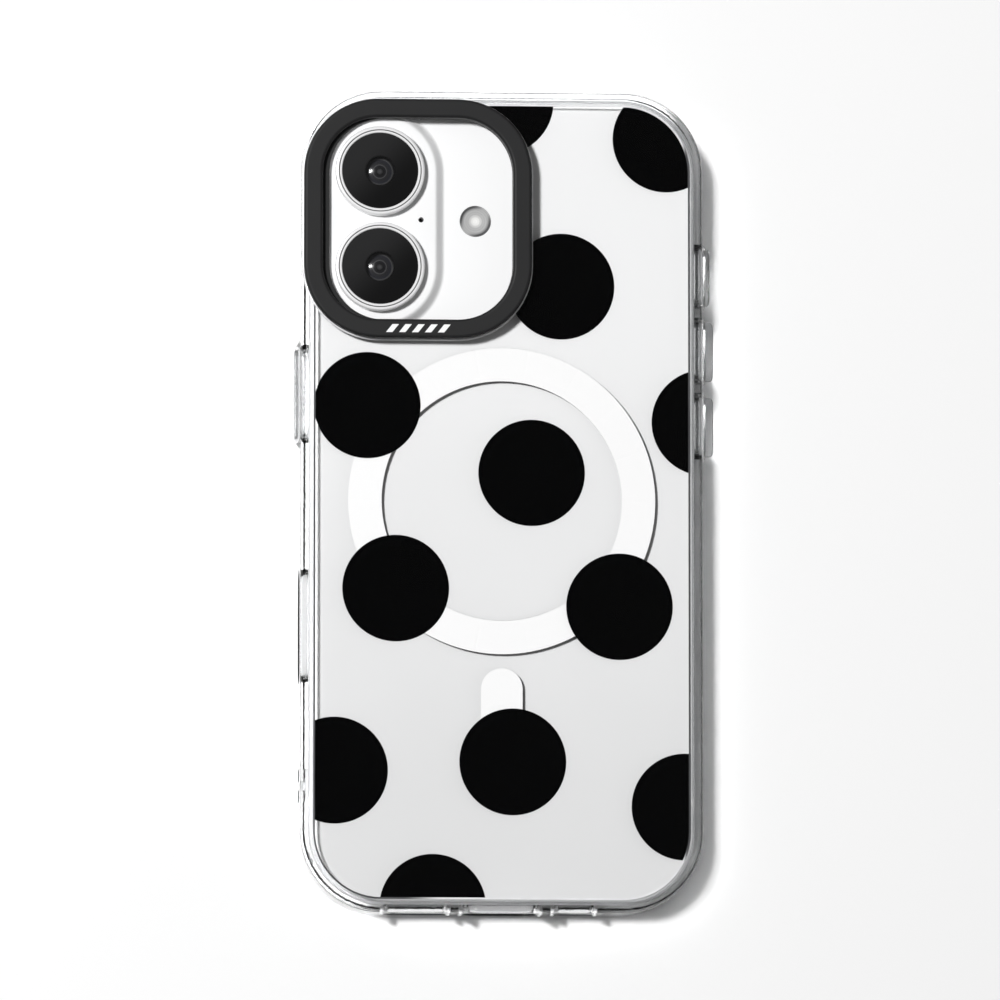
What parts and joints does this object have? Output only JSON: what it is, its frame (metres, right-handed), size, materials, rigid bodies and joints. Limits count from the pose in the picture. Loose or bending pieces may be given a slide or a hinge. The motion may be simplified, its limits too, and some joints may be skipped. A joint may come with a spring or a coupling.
{
  "type": "clear magnetic phone case on a phone",
  "caption": "Clear phone case with a polka-dot print, a white magnet ring and a black camera bezel, fitted on a phone; it lifts off and its button covers press the phone's buttons.",
  "frame": {"origin": "middle of the bumper's footprint, on the plane that its front lip stands on", "axes": "+Z out of the back of the case, +Y towards the phone's top edge, +X towards its volume buttons; the screen faces down"},
  "size_m": [0.0781, 0.1528, 0.0133],
  "materials": {
    "clear_tpu": "clear flexible TPU, glossy",
    "clear_panel": "clear hard polycarbonate, glossy",
    "dot_ink": "opaque black print seen through a clear sheet",
    "white_cover": "smooth white film",
    "magnet": "nickel-plated magnet",
    "shielding_steel": "stamped steel",
    "bezel_black": "black satin plastic",
    "mark_white": "white pad print",
    "band_aluminium": "fine bead-blasted, silver anodised",
    "control_glass": "polished silver cover",
    "antenna_plastic": "white moulded plastic",
    "screen": "black front glass, display off",
    "display": "dark panel",
    "back_glass": "white colour-infused glass, satin",
    "lens_cover": "coated sapphire cover",
    "lens_black": "black moulded plastic",
    "flash_window": "frosted clear window",
    "flash_led": "yellow phosphor",
    "mesh": "fine black mesh",
    "speaker_black": "black moulded plastic",
    "battery_foil": "dark wrapped pouch",
    "board_green": "green solder mask",
    "coil_copper": "copper winding",
    "switch_gold": "gold-plated dome"
  },
  "bodies": {
    "phone": {"phone_band": "band_aluminium", "antenna_inserts": "antenna_plastic", "screen_glass": "screen", "display_panel": "display", "midplate": "shielding_steel", "back_glass": "back_glass", "camera_plateau": "back_glass", "lens_ring_upper": "band_aluminium", "lens_ring_lower": "band_aluminium", "lens_glass_upper": "lens_cover", "lens_glass_lower": "lens_cover", "lens_stack_upper": "lens_black", "lens_stack_lower": "lens_black", "camera_module_upper": "lens_black", "camera_module_lower": "lens_black", "flash_window": "flash_window", "flash_led": "flash_led", "rear_mic_mesh": "mesh", "front_camera": "lens_black", "earpiece_mesh": "mesh", "earpiece_speaker": "speaker_black", "battery": "battery_foil", "logic_board": "board_green", "board_shields": "shielding_steel", "haptic_motor": "shielding_steel", "loudspeaker": "speaker_black", "sound_meshes": "mesh", "charging_coil": "coil_copper", "phone_magnets": "magnet", "usb_shell": "shielding_steel", "usb_tongue": "speaker_black", "bottom_screws": "shielding_steel", "button_switches": "switch_gold"},
    "case": {"bumper": "clear_tpu", "back_panel": "clear_panel", "face_sheet": "clear_panel", "dot_print": "dot_ink", "ring_cover": "white_cover", "ring_magnets": "magnet", "ring_backing": "shielding_steel", "bar_cover": "white_cover", "bar_magnet": "magnet", "camera_bezel": "bezel_black", "bezel_marks": "mark_white"},
    "action_key": {"action_button": "band_aluminium"},
    "volume_up_key": {"volume_up_button": "band_aluminium"},
    "volume_down_key": {"volume_down_button": "band_aluminium"},
    "side_key": {"side_button": "band_aluminium"},
    "control_key": {"camera_control": "control_glass"},
    "action_cap": {"action_cover": "clear_tpu"},
    "volume_up_cap": {"volume_up_cover": "clear_tpu"},
    "volume_down_cap": {"volume_down_cover": "clear_tpu"},
    "side_cap": {"side_cover": "clear_tpu"}
  },
  "joints": [
    {"name": "case_lift", "type": "slide", "parent": "phone", "child": "case", "axis": [0, 0, 1], "range_m": [0, 0.02], "deforming": ["bumper"]},
    {"name": "action_press", "type": "slide", "parent": "phone", "child": "action_key", "axis": [-1, 0, 0], "range_m": [0, 0.00025], "stiffness_N_per_m": 2000},
    {"name": "volume_up_press", "type": "slide", "parent": "phone", "child": "volume_up_key", "axis": [-1, 0, 0], "range_m": [0, 0.00025], "stiffness_N_per_m": 2000},
    {"name": "volume_down_press", "type": "slide", "parent": "phone", "child": "volume_down_key", "axis": [-1, 0, 0], "range_m": [0, 0.00025], "stiffness_N_per_m": 2000},
    {"name": "side_press", "type": "slide", "parent": "phone", "child": "side_key", "axis": [1, 0, 0], "range_m": [0, 0.00025], "stiffness_N_per_m": 2000},
    {"name": "control_press", "type": "slide", "parent": "phone", "child": "control_key", "axis": [1, 0, 0], "range_m": [0, 0.00025], "stiffness_N_per_m": 2000},
    {"name": "action_cap_press", "type": "slide", "parent": "case", "child": "action_cap", "axis": [-1, 0, 0], "range_m": [0, 0.00025]},
    {"name": "volume_up_cap_press", "type": "slide", "parent": "case", "child": "volume_up_cap", "axis": [-1, 0, 0], "range_m": [0, 0.00025]},
    {"name": "volume_down_cap_press", "type": "slide", "parent": "case", "child": "volume_down_cap", "axis": [-1, 0, 0], "range_m": [0, 0.00025]},
    {"name": "side_cap_press", "type": "slide", "parent": "case", "child": "side_cap", "axis": [1, 0, 0], "range_m": [0, 0.00025]}
  ],
  "couplings": [
    {"joint": "action_cap_press", "follows": "action_press", "ratio": 1},
    {"joint": "volume_up_cap_press", "follows": "volume_up_press", "ratio": 1},
    {"joint": "volume_down_cap_press", "follows": "volume_down_press", "ratio": 1},
    {"joint": "side_cap_press", "follows": "side_press", "ratio": 1}
  ]
}
